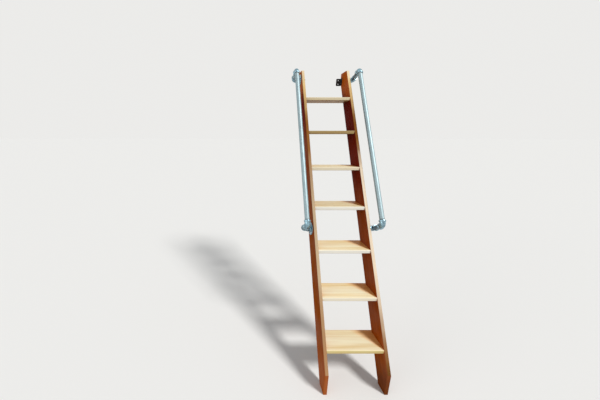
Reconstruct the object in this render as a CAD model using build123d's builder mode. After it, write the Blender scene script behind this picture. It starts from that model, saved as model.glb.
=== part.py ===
from build123d import *

import os
from math import cos, isclose, radians, sin, tan

# Steep loft ladder stair with two pipe handrails.
# Seven treads are housed between two raked stringers. The stringers stand on the floor and lean
# on the edge of a loft, where an angle bracket inside each one is fastened to the loft's face.
# Each handrail is a straight pipe that turns through two elbows at each end and screws into a
# floor flange on the stringer's outer face.
# Frame: +Z up, +Y into the loft, +X to the right when climbing. The loft's face is the plane
# Y = 0. The origin is the centre of the right bracket's back face. Lengths are in millimetres.

# Stair as a whole
rise_height = 270
riser_count = 8
rake = 60.5
clear_width = 362

# Stringers
stringer_depth = 140
stringer_thickness = 22
stringer_top_drop = 40
stringer_top_length = 120
toe_cut = 85
stringer_edge_chamfer = 2

# Treads
tread_depth = 175
tread_thickness = 25
housing_depth = 10
nose_round = 4
tread_edge_round = 2

# Angle brackets at the loft
bracket_leg = 40
bracket_height = 60
bracket_thickness = 3
bracket_drop = 80
bracket_root_round = 3
bracket_corner_round = 6
bracket_hole_radius = 3.5
bracket_hole_spacing = 30
bracket_hole_gauge = 22
length_tolerance = 0.01

# Pipe
pipe_radius = 16.7
pipe_wall = 3.4
socket_depth = 14
socket_clearance = 0.15

# Elbows
elbow_turn = 90
elbow_reach = 38
elbow_body_radius = 20.2
elbow_band_radius = 23.2
elbow_band_width = 10

# Floor flanges
flange_radius = 47.5
flange_plate = 6
flange_height = 17
flange_hub_radius = 22.5
flange_hub_draft = 1.5
flange_hub_chamfer = 1.2
flange_hole_count = 4
flange_hole_turn = 45
flange_hole_circle_radius = 35
flange_hole_radius = 3.2

# Handrails, placed by the floor flanges on the middle of the stringers' outer faces
top_flange_drop = 70
bottom_flange_height = 918
wall_nipple_show = 2
reach_nipple_show = 49

# Places that follow from the sizes
bore_radius = pipe_radius - pipe_wall
socket_radius = pipe_radius + socket_clearance
socket_shoulder = elbow_reach - socket_depth
elbow_band_slope = elbow_band_radius - elbow_body_radius
elbow_bend_radius = elbow_reach - elbow_band_width - elbow_band_slope
loft_height = riser_count * rise_height
stringer_top = loft_height - stringer_top_drop
bracket_centre = loft_height - bracket_drop - bracket_height / 2
centre_x = -(clear_width - bracket_leg) / 2
rake_sin = sin(radians(rake))
rake_cos = cos(radians(rake))
run_per_rise = 1 / tan(radians(rake))
stringer_run = stringer_depth / rake_sin
up_rake = Vector(0, rake_cos, rake_sin)
into_rake = Vector(0, rake_sin, -rake_cos)
wall_elbow_reach = elbow_reach + wall_nipple_show + flange_height
rail_elbow_spacing = 2 * elbow_reach + reach_nipple_show
SIDES = {"left": -1, "right": 1}


def level(height):
    """Z of a height above the floor."""
    return height - bracket_centre


def front_y(height):
    """Y of the stringers' front edges at a height above the floor."""
    return -stringer_top_length - (stringer_top - height) * run_per_rise


def inner_face_x(side):
    """X of a stringer's face towards the treads."""
    return centre_x + side * clear_width / 2


def outer_face_x(side):
    """X of a stringer's face away from the treads."""
    return inner_face_x(side) + side * stringer_thickness


def wall_corner(side, height):
    """Centre of the elbow that stands off a flange at a height above the floor."""
    x = outer_face_x(side) + side * wall_elbow_reach
    return Vector(x, front_y(height) + stringer_run / 2, level(height))


def rail_corner(side, height):
    """Centre of the elbow on the handrail that goes with the flange at a height."""
    return wall_corner(side, height) - into_rake * rail_elbow_spacing


def make_stringer(side):
    """Raked board, cut level and plumb at both ends, with a through housing for each tread."""
    heel_y = front_y(0) + stringer_run
    toe_y = front_y(0) + toe_cut
    plumb_foot = stringer_top - (stringer_run - stringer_top_length) / run_per_rise
    outline = [
        (toe_y, level(0)),
        (heel_y, level(0)),
        (0, level(plumb_foot)),
        (0, level(stringer_top)),
        (front_y(stringer_top), level(stringer_top)),
        (toe_y, level(toe_cut / run_per_rise)),
    ]
    inner = Plane.YZ.offset(inner_face_x(side))
    with BuildPart() as board:
        with BuildSketch(inner):
            with BuildLine():
                Polyline(*outline, close=True)
            make_face()
        extrude(amount=side * stringer_thickness)
        chamfer(board.edges().filter_by(Axis((0, 0, 0), up_rake)), stringer_edge_chamfer)
        with BuildSketch(inner):
            for step in range(1, riser_count):
                with Locations((front_y(step * rise_height) + stringer_run / 2, level(step * rise_height))):
                    Rectangle(2 * stringer_run, tread_thickness, align=(Align.CENTER, Align.MAX))
        extrude(amount=side * housing_depth, mode=Mode.SUBTRACT)
    return board.part


def make_tread(step):
    """Board whose ends fill the housings and whose top front edge meets the stringers' front."""
    left_end = Plane.YZ.offset(inner_face_x(SIDES["left"]) - housing_depth)
    with BuildPart() as board:
        with BuildSketch(left_end):
            with Locations((front_y(step * rise_height), level(step * rise_height))):
                Rectangle(tread_depth, tread_thickness, align=(Align.MIN, Align.MAX))
        extrude(amount=clear_width + 2 * housing_depth)
        long_edges = board.edges().filter_by(Axis.X).sort_by(Axis.Y)
        fillet(long_edges[:2], nose_round)
        fillet(board.edges().filter_by(Axis.X).sort_by(Axis.Y)[-2:], tread_edge_round)
    return board.part


def make_bracket(side):
    """Steel angle with one leg on the stringer's inner face and one flat on the loft's face."""
    inward = -side
    corner_x = inner_face_x(side)
    outline = [
        (corner_x, 0),
        (corner_x + inward * bracket_leg, 0),
        (corner_x + inward * bracket_leg, -bracket_thickness),
        (corner_x + inward * bracket_thickness, -bracket_thickness),
        (corner_x + inward * bracket_thickness, -bracket_leg),
        (corner_x, -bracket_leg),
    ]
    hole_heights = (-bracket_hole_spacing / 2, bracket_hole_spacing / 2)
    with BuildPart() as angle:
        with BuildSketch(Plane.XY.offset(-bracket_height / 2)):
            with BuildLine():
                Polyline(*outline, close=True)
            make_face()
        extrude(amount=bracket_height)
        root = angle.edges().filter_by(Axis.Z).sort_by_distance((*outline[3], 0))[0]
        fillet(root, bracket_root_round)
        tip_corners = angle.edges().filter_by(
            lambda edge: isclose(edge.length, bracket_thickness, abs_tol=length_tolerance)
        )
        fillet(tip_corners, bracket_corner_round)
        with BuildSketch(Plane.XZ):
            with Locations(*[(corner_x + inward * bracket_hole_gauge, z) for z in hole_heights]):
                Circle(bracket_hole_radius)
        extrude(amount=bracket_thickness, mode=Mode.SUBTRACT)
        with BuildSketch(Plane.YZ.offset(corner_x)):
            with Locations(*[(-bracket_hole_gauge, z) for z in hole_heights]):
                Circle(bracket_hole_radius)
        extrude(amount=inward * bracket_thickness, mode=Mode.SUBTRACT)
    return angle.part


def make_tube(start, end):
    """Length of pipe between two points, cut square at both ends."""
    with BuildPart() as tube:
        with BuildSketch(Plane(origin=start, z_dir=end - start)):
            Circle(pipe_radius)
            Circle(bore_radius, mode=Mode.SUBTRACT)
        extrude(amount=(end - start).length)
    return tube.part


def make_elbow(centre, leg_a, leg_b):
    """Elbow: a bend of round section, a wider band and a socket on each leg, and a bent bore."""
    across = leg_a.cross(leg_b)
    band_profile = [
        (elbow_bend_radius, 0),
        (elbow_bend_radius, elbow_body_radius),
        (elbow_bend_radius + elbow_band_slope, elbow_band_radius),
        (elbow_reach, elbow_band_radius),
        (elbow_reach, 0),
    ]
    with BuildPart() as elbow:
        with BuildSketch(Plane(centre + leg_a * elbow_bend_radius, x_dir=leg_b, z_dir=leg_a)):
            Circle(elbow_body_radius)
        revolve(
            axis=Axis(centre + (leg_a + leg_b) * elbow_bend_radius, -across),
            revolution_arc=elbow_turn,
        )
        for leg in (leg_a, leg_b):
            with BuildSketch(Plane(centre, x_dir=leg, z_dir=across)):
                with BuildLine():
                    Polyline(*band_profile, close=True)
                make_face()
            revolve(axis=Axis(centre, leg))
        for leg in (leg_a, leg_b):
            with BuildSketch(Plane(centre + leg * elbow_reach, x_dir=across, z_dir=leg)):
                Circle(socket_radius)
            extrude(amount=-socket_depth, mode=Mode.SUBTRACT)
        with BuildSketch(Plane(centre + leg_a * socket_shoulder, x_dir=leg_b, z_dir=leg_a)):
            Circle(bore_radius)
        revolve(
            axis=Axis(centre + (leg_a + leg_b) * socket_shoulder, -across),
            revolution_arc=elbow_turn,
            mode=Mode.SUBTRACT,
        )
    return elbow.part


def make_flange(seat):
    """Floor flange on its seat: round plate, tapered hub, through socket and screw holes."""
    axis = Axis(seat.origin, seat.z_dir)
    profile = [
        (0, 0),
        (flange_radius, 0),
        (flange_radius, flange_plate),
        (flange_hub_radius + flange_hub_draft, flange_plate),
        (flange_hub_radius, flange_height),
        (0, flange_height),
    ]
    with BuildPart() as flange:
        with BuildSketch(Plane(seat.origin, x_dir=seat.x_dir, z_dir=-seat.y_dir)) as half:
            with BuildLine():
                Polyline(*profile, close=True)
            make_face()
            top_corner = half.vertices().sort_by_distance((*profile[4], 0))[0]
            chamfer(top_corner, flange_hub_chamfer)
        revolve(axis=axis)
        with BuildSketch(seat):
            Circle(socket_radius)
            with PolarLocations(flange_hole_circle_radius, flange_hole_count, flange_hole_turn):
                Circle(flange_hole_radius)
        extrude(amount=flange_height, mode=Mode.SUBTRACT)
    return flange.part


def handrail_end(side, height, along):
    """Fittings of one end, from a flange's height: along leads from the rail's elbow to the rail."""
    outward = Vector(side, 0, 0)
    corner = rail_corner(side, height)
    turn = wall_corner(side, height)
    seat_centre = turn - outward * wall_elbow_reach
    into_socket = into_rake * socket_shoulder
    return {
        "rail_elbow": make_elbow(corner, along, into_rake),
        "reach_nipple": make_tube(corner + into_socket, turn - into_socket),
        "wall_elbow": make_elbow(turn, -into_rake, -outward),
        "wall_nipple": make_tube(
            turn - outward * socket_shoulder,
            seat_centre + outward * (flange_height - socket_depth),
        ),
        "flange": make_flange(Plane(seat_centre, x_dir=up_rake, z_dir=outward)),
    }


def write(part, name):
    """Label a finished piece and write its file."""
    part.label = name
    export_step(part, f"parts/{name}.step")


os.makedirs("parts", exist_ok=True)

for step in range(1, riser_count):
    write(make_tread(step), f"tread_{step}")

for side_name, side in SIDES.items():
    write(make_stringer(side), f"stringer_{side_name}")
    write(make_bracket(side), f"angle_bracket_{side_name}")
    rail_ends = {
        "top": (stringer_top - top_flange_drop, -up_rake),
        "bottom": (bottom_flange_height, up_rake),
    }
    for end_name, (height, along) in rail_ends.items():
        for piece_name, part in handrail_end(side, height, along).items():
            write(part, f"{piece_name}_{end_name}_{side_name}")
    rail_foot = rail_corner(side, bottom_flange_height) + up_rake * socket_shoulder
    rail_head = rail_corner(side, stringer_top - top_flange_drop) - up_rake * socket_shoulder
    write(make_tube(rail_foot, rail_head), f"handrail_{side_name}")
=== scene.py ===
from collections import namedtuple
from math import cos, pi, radians, sin, tan

import bmesh
import bpy
from bpy.props import FloatProperty, FloatVectorProperty, IntProperty, PointerProperty
from bpy.types import NodeSocket, Operator, Panel, PropertyGroup
from mathutils import Matrix, Vector


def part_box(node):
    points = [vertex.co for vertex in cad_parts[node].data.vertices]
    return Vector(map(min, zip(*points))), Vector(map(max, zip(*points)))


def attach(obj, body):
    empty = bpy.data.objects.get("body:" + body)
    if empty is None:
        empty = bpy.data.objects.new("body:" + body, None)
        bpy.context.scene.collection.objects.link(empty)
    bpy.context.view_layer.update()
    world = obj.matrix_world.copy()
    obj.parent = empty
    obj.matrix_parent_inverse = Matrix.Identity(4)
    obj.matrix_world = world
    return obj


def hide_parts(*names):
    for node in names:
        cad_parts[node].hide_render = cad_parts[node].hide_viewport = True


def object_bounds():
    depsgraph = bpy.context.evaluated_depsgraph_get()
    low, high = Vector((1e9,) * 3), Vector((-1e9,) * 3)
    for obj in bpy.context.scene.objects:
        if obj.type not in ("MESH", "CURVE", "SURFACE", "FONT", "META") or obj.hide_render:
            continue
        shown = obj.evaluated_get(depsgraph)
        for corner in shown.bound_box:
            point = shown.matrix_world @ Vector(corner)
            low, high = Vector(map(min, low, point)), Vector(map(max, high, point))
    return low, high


bl_info = {
    "name": "Loft Ladder Stair",
    "version": (1, 0, 0),
    "blender": (4, 5, 0),
    "location": "View3D > Sidebar > Loft Stair",
    "description": "Dresses a steep wooden stair with two pipe handrails",
    "category": "Object",
}

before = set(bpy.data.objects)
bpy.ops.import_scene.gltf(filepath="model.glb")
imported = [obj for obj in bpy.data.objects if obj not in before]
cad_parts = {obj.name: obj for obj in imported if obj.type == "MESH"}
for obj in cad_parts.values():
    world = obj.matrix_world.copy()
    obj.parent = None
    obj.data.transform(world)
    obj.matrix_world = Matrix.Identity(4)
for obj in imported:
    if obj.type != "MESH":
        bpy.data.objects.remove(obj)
cad_low, cad_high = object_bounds()

# The stair's own measures. A tread's going is how far its nose lies in front of the next one's.
SIDES = {"left": -1, "right": 1}
ENDS = {"top": -1, "bottom": 1}
TREAD_COUNT = sum(name.startswith("tread_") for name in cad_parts)
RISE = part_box("tread_2")[1].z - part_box("tread_1")[1].z
RAKE = radians(60.5)
GOING = RISE / tan(RAKE)
FLOOR_LEVEL = cad_low.z
LOFT_HEIGHT = RISE * (TREAD_COUNT + 1)
STAIR_CENTRE = (cad_low.x + cad_high.x) / 2

# Directions, and how far along INTO_RAKE the stringers' front edges lie.
UPRIGHT = Vector((0, 0, 1))
FORWARD = Vector((0, -1, 0))
UP_RAKE = Vector((0, cos(RAKE), sin(RAKE)))
INTO_RAKE = Vector((0, sin(RAKE), -cos(RAKE)))
FRONT_PLANE = Vector((0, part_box("tread_1")[0].y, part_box("tread_1")[1].z)).dot(INTO_RAKE)

# Small sizes. A hair is how near a plane a vertex counts as on it.
MILLIMETRE = 0.001
HAIR = 0.01 * MILLIMETRE
SOCKET_SLACK = 0.1 * MILLIMETRE
SCREW_RADIUS = 5.4 * MILLIMETRE
BRACKET_PLATE = 3 * MILLIMETRE

# A pan head from its rim to its crown, as shares of its height and of its radius.
SCREW_PROFILE = ((0.30, 1.00), (0.58, 0.95), (0.83, 0.80), (0.96, 0.56), (1.00, 0.30))

# Colours of the metals' wear and dirt, and of the painted shade and dirt in their crevices.
RUBBED_ZINC = (0.72, 0.76, 0.77, 1)
ZINC_SHADE_AND_GRIME = (0.018, 0.022, 0.028, 1)
BLACK_OXIDE = (0.014, 0.014, 0.016, 1)
HANDLED_OXIDE = (0.040, 0.038, 0.036, 1)
RUBBED_STEEL = (0.30, 0.29, 0.28, 1)
SPECKLED_STEEL = (0.12, 0.10, 0.09, 1)

# The photograph's eye: its place, how far it looks down, and how far its frame is shifted.
EYE = Vector((-0.8815, -2.4508, FLOOR_LEVEL + 1.575))
EYE_TILT = radians(14.285)
FRAME_SHIFT = 0.0984

# Where the two lamps shine from.
KEY_DIRECTION = Vector((0.65, -0.60, 1.0))
SIDE_DIRECTION = Vector((-1.0, -0.45, 0.15))

# How the stringers change from the floor, at nought, to the loft, at one: how pale each front edge
# is, partly from faded wood and partly from painted window light, with painted shade where it
# stays brown; how far both are tinted golden; and how far painted shade darkens the faces.
EDGE_FADE_AND_LIGHT = {
    "left": (
        (0.02, 0.30), (0.16, 0.26), (0.24, 0.44), (0.31, 0.72), (0.50, 0.74), (0.57, 0.56),
        (0.64, 0.30), (0.70, 0.02), (0.77, 0.06), (0.85, 0.58), (0.92, 0.92), (0.98, 1.00),
    ),
    "right": (
        (0.07, 0.00), (0.13, 0.10), (0.18, 0.38), (0.24, 0.70), (0.31, 0.94), (0.50, 1.00),
        (0.63, 0.92), (0.68, 0.12), (0.76, 0.00), (0.82, 0.12), (0.88, 0.56), (0.92, 0.86),
        (0.96, 1.00),
    ),
}
EDGE_WARMING = ((0.68, 0.00), (0.76, 1.00), (0.92, 1.00), (0.97, 0.35))
FACE_SHADING = (
    (0.00, 0.00), (0.14, 0.12), (0.26, 0.30), (0.50, 0.42), (0.58, 0.85),
    (0.86, 1.00), (0.89, 0.30), (0.92, 0.05), (0.98, 0.00),
)

# How far painted shade darkens each tread and painted light pales the front of its nose, from the
# floor, which has no tread, to the highest.
TREAD_SHADING = (0, 0.00, 0.02, 0.03, 0.14, 0.13, 0.80, 0.28)
NOSE_LIGHTING = (0, 0.05, 0.60, 0.95, 1.00, 0.45, 0.00, 0.20)

# How dark the wood is through one year's growth, from the end of one ring to the next.
YEAR = ((0.00, 0.10), (0.35, 0.00), (0.72, 0.45), (0.90, 1.00), (1.00, 0.10))


# Settings: sizes and colours that a user may change.


class LoftStairWood(PropertyGroup):
    """Colours and figure of the boards."""

    tread_pale: FloatVectorProperty(
        name="Tread Early Wood",
        description="Colour of the treads between the growth lines",
        subtype="COLOR",
        size=4,
        default=(0.960, 0.860, 0.590, 1),
    )
    tread_dark: FloatVectorProperty(
        name="Tread Late Wood",
        description="Colour of the treads' growth lines",
        subtype="COLOR",
        size=4,
        default=(0.800, 0.600, 0.300, 1),
    )
    stringer_pale: FloatVectorProperty(
        name="Stringer Early Wood",
        description="Colour of the stringers between the growth lines",
        subtype="COLOR",
        size=4,
        default=(0.397, 0.103, 0.024, 1),
    )
    stringer_dark: FloatVectorProperty(
        name="Stringer Late Wood",
        description="Colour of the stringers' growth lines",
        subtype="COLOR",
        size=4,
        default=(0.125, 0.018, 0.004, 1),
    )
    # Partly painted window light: the pale colour of the front edges stands both for faded wood
    # and for light falling on them.
    lightened: FloatVectorProperty(
        name="Lit and Faded Edge",
        description="Colour of the stringers' pale front edges, partly faded wood and partly painted window light",
        subtype="COLOR",
        size=4,
        default=(0.870, 0.725, 0.545, 1),
    )
    # Painted shade on the left front edge where it is pale, below the loft.
    left_edge_shade: FloatVectorProperty(
        name="Left Edge Shade Tint",
        description="Painted shade on the left front edge where it is pale, below the loft",
        subtype="COLOR",
        size=4,
        default=(0.760, 0.735, 0.650, 1),
    )
    # Partly painted shade: the front edges show this brown where they are not pale.
    brown_shade: FloatVectorProperty(
        name="Brown and Shaded Edge",
        description="Colour of the stringers' front edges where they are not pale, partly painted shade",
        subtype="COLOR",
        size=4,
        default=(0.300, 0.150, 0.032, 1),
    )
    # Painted shade on the stringers' faces up the stair.
    face_shade: FloatVectorProperty(
        name="Face Shade Tint",
        description="Painted shade on the stringers' faces up the stair",
        subtype="COLOR",
        size=4,
        default=(0.380, 0.060, 0.060, 1),
    )
    # Painted shade on a tread.
    tread_shade: FloatVectorProperty(
        name="Tread Shade Tint",
        description="Painted shade on a tread",
        subtype="COLOR",
        size=4,
        default=(0.305, 0.220, 0.065, 1),
    )
    # Painted shadow of the right stringer on the treads, with painted shade in their corners.
    stringer_shadow: FloatVectorProperty(
        name="Stringer Shadow Tint",
        description="Painted shadow of the right stringer on the treads, with painted shade in their corners",
        subtype="COLOR",
        size=4,
        default=(0.920, 0.500, 0.220, 1),
    )
    # Painted shade on the treads' undersides.
    underside_shade: FloatVectorProperty(
        name="Underside Shade Tint",
        description="Painted shade on the treads' undersides",
        subtype="COLOR",
        size=4,
        default=(0.620, 0.410, 0.220, 1),
    )
    trodden: FloatVectorProperty(
        name="Trodden Wood",
        description="Colour that feet have worn the middle of the treads to",
        subtype="COLOR",
        size=4,
        default=(0.970, 0.950, 0.740, 1),
    )
    # Painted highlight along the top of the treads' noses.
    nose_highlight: FloatVectorProperty(
        name="Nose Highlight",
        description="Painted highlight along the top of the treads' noses",
        subtype="COLOR",
        size=4,
        default=(0.950, 0.860, 0.620, 1),
    )
    # Painted light on the fronts of the treads' noses.
    lit_nose: FloatVectorProperty(
        name="Lit Nose",
        description="Painted light on the fronts of the treads' noses",
        subtype="COLOR",
        size=4,
        default=(0.940, 0.920, 0.830, 1),
    )
    # Painted shade on the lowest tread's front.
    lowest_front_shade: FloatVectorProperty(
        name="Lowest Front Shade Tint",
        description="Painted shade on the lowest tread's front",
        subtype="COLOR",
        size=4,
        default=(0.910, 0.890, 0.640, 1),
    )
    warmed: FloatVectorProperty(
        name="Warmed Tint",
        description="Tint of the stringers' front edges near the loft",
        subtype="COLOR",
        size=4,
        default=(1.000, 0.880, 0.540, 1),
    )
    tread_ring: FloatProperty(
        name="Tread Ring Width",
        description="Distance between two growth rings of the treads",
        unit="LENGTH",
        default=0.0046,
    )
    stringer_ring: FloatProperty(
        name="Stringer Ring Width",
        description="Distance between two growth rings of the stringers",
        unit="LENGTH",
        default=0.0046,
    )
    stringer_depth: FloatProperty(
        name="Stringer Depth",
        description="Depth of a stringer, square to the rake",
        unit="LENGTH",
        default=0.140,
    )
    stringer_arris: FloatProperty(
        name="Stringer Arris",
        description="How far the stringers' long edges are rounded off",
        unit="LENGTH",
        default=0.002,
    )
    plug_radius: FloatProperty(
        name="Plug Radius",
        description="Radius of the wooden plugs over the tread screws",
        unit="LENGTH",
        default=0.005,
    )
    plug_front: FloatProperty(
        name="Front Plug",
        description="Distance of the front plugs behind the tread's nose",
        unit="LENGTH",
        default=0.040,
    )
    plug_spacing: FloatProperty(
        name="Plug Spacing",
        description="Distance between the two plugs of a tread's end",
        unit="LENGTH",
        default=0.080,
    )


class LoftStairFittings(PropertyGroup):
    """Sizes and colours of the pipes and their fittings."""

    pipe_radius: FloatProperty(
        name="Pipe Radius",
        description="Outside radius of the pipes",
        unit="LENGTH",
        default=0.0167,
    )
    elbow_reach: FloatProperty(
        name="Elbow Reach",
        description="Distance from an elbow's corner to each of its ends",
        unit="LENGTH",
        default=0.038,
    )
    bend_radius: FloatProperty(
        name="Bend Radius",
        description="Radius of an elbow's bend at its middle line",
        unit="LENGTH",
        default=0.025,
    )
    body_radius: FloatProperty(
        name="Elbow Body Radius",
        description="Outside radius of an elbow between its bands, without the ridge",
        unit="LENGTH",
        default=0.0198,
    )
    band_radius: FloatProperty(
        name="Elbow Band Radius",
        description="Outside radius of the bands at an elbow's ends",
        unit="LENGTH",
        default=0.0232,
    )
    parting_ridge: FloatProperty(
        name="Parting Ridge",
        description="Height of the ridge that the mould's joint leaves round an elbow's bend",
        unit="LENGTH",
        default=0.0004,
    )
    wall_reach: FloatProperty(
        name="Wall Reach",
        description="Distance from a stringer's outer face to the corner of the wall elbow",
        unit="LENGTH",
        default=0.057,
    )
    elbow_spacing: FloatProperty(
        name="Elbow Spacing",
        description="Distance between the corners of the two elbows of an end",
        unit="LENGTH",
        default=0.125,
    )
    thread_pitch: FloatProperty(
        name="Thread Pitch",
        description="Advance of the pipe thread in one turn",
        unit="LENGTH",
        default=0.0022,
    )
    thread_turns: IntProperty(
        name="Thread Turns",
        description="Turns of thread that show outside a fitting",
        default=4,
        min=1,
    )
    flange_hole_circle: FloatProperty(
        name="Flange Hole Circle",
        description="Radius of the circle of a flange's screws",
        unit="LENGTH",
        default=0.035,
    )
    flange_plate: FloatProperty(
        name="Flange Plate",
        description="Thickness of a flange's plate",
        unit="LENGTH",
        default=0.006,
    )
    zinc: FloatVectorProperty(
        name="Zinc",
        description="Colour of the galvanised pipes",
        subtype="COLOR",
        size=4,
        default=(0.315, 0.408, 0.438, 1),
    )
    casting: FloatVectorProperty(
        name="Casting",
        description="Colour of the galvanised castings",
        subtype="COLOR",
        size=4,
        default=(0.325, 0.508, 0.600, 1),
    )


class LoftStairStage(PropertyGroup):
    """The floor, the lamps, the background and the camera."""

    floor_colour: FloatVectorProperty(
        name="Floor Colour",
        description="Colour in which the floor is seen",
        subtype="COLOR",
        size=4,
        default=(0.84, 0.84, 0.83, 1),
    )
    floor_bounce: FloatVectorProperty(
        name="Floor Bounce",
        description="Colour with which the floor lights the stair from below",
        subtype="COLOR",
        size=4,
        default=(0.36, 0.36, 0.36, 1),
    )
    lamp_colour: FloatVectorProperty(
        name="Lamp Colour",
        description="Colour of the key light and of the side light",
        subtype="COLOR",
        size=3,
        default=(1.000, 0.985, 0.960),
    )
    fill_colour: FloatVectorProperty(
        name="Fill Colour",
        description="Colour of the light that comes from all round",
        subtype="COLOR",
        size=4,
        default=(0.960, 0.980, 1.000, 1),
    )
    background: FloatVectorProperty(
        name="Background",
        description="Colour that shows behind the stair and in what it reflects",
        subtype="COLOR",
        size=4,
        default=(0.838, 0.834, 0.818, 1),
    )
    key_level: FloatProperty(
        name="Key Level",
        description="Strength of the soft key light in front and to the right",
        default=2.6,
    )
    key_softness: FloatProperty(
        name="Key Softness",
        description="Width of the key light as the stair sees it",
        subtype="ANGLE",
        default=radians(14),
    )
    side_level: FloatProperty(
        name="Side Level",
        description="Strength of the broad light low on the left",
        default=0.8,
    )
    side_softness: FloatProperty(
        name="Side Softness",
        description="Width of the side light as the stair sees it",
        subtype="ANGLE",
        default=radians(40),
    )
    fill_level: FloatProperty(
        name="Fill Level",
        description="Brightness of the light that comes from all round",
        default=0.36,
    )
    lens: FloatProperty(
        name="Lens",
        description="Focal length of the camera in millimetres on a 36 mm sensor",
        default=14.945,
    )


# Tools for modelling.


def only(piece):
    """Makes a piece the only selected one."""
    bpy.ops.object.select_all(action="DESELECT")
    piece.select_set(True)
    bpy.context.view_layer.objects.active = piece


def primitive(add, **sizes):
    """A new primitive, the only selected piece, with its place in its mesh."""
    bpy.ops.object.select_all(action="DESELECT")
    add(**sizes)
    bpy.ops.object.transform_apply(location=True, rotation=True, scale=True)
    return bpy.context.object


def open_mesh(piece):
    """Goes into edit mode on one piece."""
    only(piece)
    bpy.ops.object.mode_set(mode="EDIT")


def close_mesh():
    """Turns every face outwards and leaves edit mode."""
    bpy.ops.mesh.select_all(action="SELECT")
    bpy.ops.mesh.remove_doubles(threshold=1e-6)
    bpy.ops.mesh.normals_make_consistent(inside=False)
    bpy.ops.object.mode_set(mode="OBJECT")


def smooth(piece, degrees):
    """Shades a piece smooth, apart from edges that turn by more than some degrees."""
    only(piece)
    bpy.ops.object.shade_smooth_by_angle(angle=radians(degrees))


def pick(piece, kind, test):
    """Selects, in edit mode, the vertices, edges or faces that pass a test."""
    bpy.ops.mesh.select_mode(type=kind)
    bpy.ops.mesh.select_all(action="DESELECT")
    mesh = bmesh.from_edit_mesh(piece.data)
    for each in {"VERT": mesh.verts, "EDGE": mesh.edges, "FACE": mesh.faces}[kind]:
        each.select = test(each)
    mesh.select_flush_mode()
    bmesh.update_edit_mesh(piece.data)


def draw_out(rings, axis=UPRIGHT):
    """Extrudes the selected ring or disc through a list of rings, each a place and a radius."""
    (place, radius), *others = rings
    for next_place, next_radius in others:
        step = axis * (next_place - place)
        bpy.ops.mesh.extrude_region_move(TRANSFORM_OT_translate={"value": step})
        bpy.ops.transform.resize(
            value=(next_radius / radius,) * 3,
            center_override=axis * next_place,
        )
        place, radius = next_place, next_radius


def turned(rings, sides):
    """A closed round piece about the upright axis, drawn out of a disc through its rings."""
    place, radius = rings[0]
    piece = primitive(
        bpy.ops.mesh.primitive_circle_add,
        vertices=sides,
        radius=radius,
        fill_type="NGON",
        location=(0, 0, place),
    )
    open_mesh(piece)
    bpy.ops.mesh.select_all(action="SELECT")
    draw_out(rings)
    close_mesh()
    return piece


def basis(axis, towards):
    """A turn that brings the upright axis to one direction and X as near as it can to another."""
    z = axis.normalized()
    x = (towards - z * towards.dot(z)).normalized()
    return Matrix((x, z.cross(x), z)).transposed().to_4x4()


def placed_copy(master, name, turn, place):
    """A copy with its own mesh, turned and moved, with its place in its mesh."""
    piece = master.copy()
    piece.data = master.data.copy()
    piece.name = piece.data.name = name
    bpy.context.collection.objects.link(piece)
    piece.matrix_world = Matrix.Translation(place) @ turn
    only(piece)
    bpy.ops.object.transform_apply(location=True, rotation=True, scale=True)
    return piece


def joined(pieces, name):
    """Joins loose copies into one piece."""
    bpy.ops.object.select_all(action="DESELECT")
    for piece in pieces:
        piece.select_set(True)
    bpy.context.view_layer.objects.active = pieces[0]
    bpy.ops.object.join()
    pieces[0].name = pieces[0].data.name = name
    return pieces[0]


def set_down(piece, finish_name):
    """Gives a finished piece its material and its body."""
    piece.data.materials.clear()
    piece.data.materials.append(finish(finish_name))
    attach(piece, "root")


def outer_side(box, side):
    """Where, across the stair, the outer side of a box on the left or on the right lies."""
    low, high = box
    return high.x if side > 0 else low.x


# Where one end of a handrail is: the seat of its flange, the way out of the stringer, the
# corners of its wall elbow and of its rail elbow, and the way into the rail.
RailEnd = namedtuple("RailEnd", "seat outward wall_corner rail_corner along")


def handrail_ends():
    """The name of each end of each handrail, and where it is."""
    sizes = bpy.context.scene.loft_stair_fittings
    for side_name, side in SIDES.items():
        outward = Vector((side, 0, 0))
        outer_face = outer_side(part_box(f"stringer_{side_name}"), side)
        for end_name, along in ENDS.items():
            low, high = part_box(f"flange_{end_name}_{side_name}")
            seat = (low + high) / 2
            seat.x = outer_face
            wall_corner = seat + outward * sizes.wall_reach
            rail_corner = wall_corner - INTO_RAKE * sizes.elbow_spacing
            at = RailEnd(seat, outward, wall_corner, rail_corner, UP_RAKE * along)
            yield f"{end_name}_{side_name}", at


# Tools for materials. A node goes into the tree of the sockets that it is given.


def tree_of(*values):
    """The node tree of the first of some values that is a socket."""
    return next(value.id_data for value in values if isinstance(value, NodeSocket))


def feed(socket, value):
    """Links a socket, or sets it where the value is a plain one."""
    if isinstance(value, NodeSocket):
        socket.id_data.links.new(value, socket)
    else:
        socket.default_value = value


def add_node(tree, kind, given=None, **settings):
    """A node with its settings, and what its inputs are given by name or number."""
    node = tree.nodes.new(kind)
    for name, value in settings.items():
        setattr(node, name, value)
    for name, value in (given or {}).items():
        feed(node.inputs[name], value)
    return node


def calc(operation, first, second=0.0):
    """A Math node's result."""
    given = {0: first, 1: second}
    node = add_node(tree_of(first, second), "ShaderNodeMath", given, operation=operation)
    return node.outputs[0]


def times(first, *others):
    """The product of some values."""
    for other in others:
        first = calc("MULTIPLY", first, other)
    return first


def plus(first, *others):
    """The sum of some values."""
    for other in others:
        first = calc("ADD", first, other)
    return first


def vector_calc(operation, first, second=(0, 0, 0)):
    """A Vector Math node's result."""
    given = {0: first, 1: second}
    node = add_node(tree_of(first, second), "ShaderNodeVectorMath", given, operation=operation)
    return node.outputs["Value" if operation in ("LENGTH", "DOT_PRODUCT") else "Vector"]


def dot(vector, direction):
    """How far a place lies, or how squarely a normal points, along a direction."""
    return vector_calc("DOT_PRODUCT", vector, tuple(direction))


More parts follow.
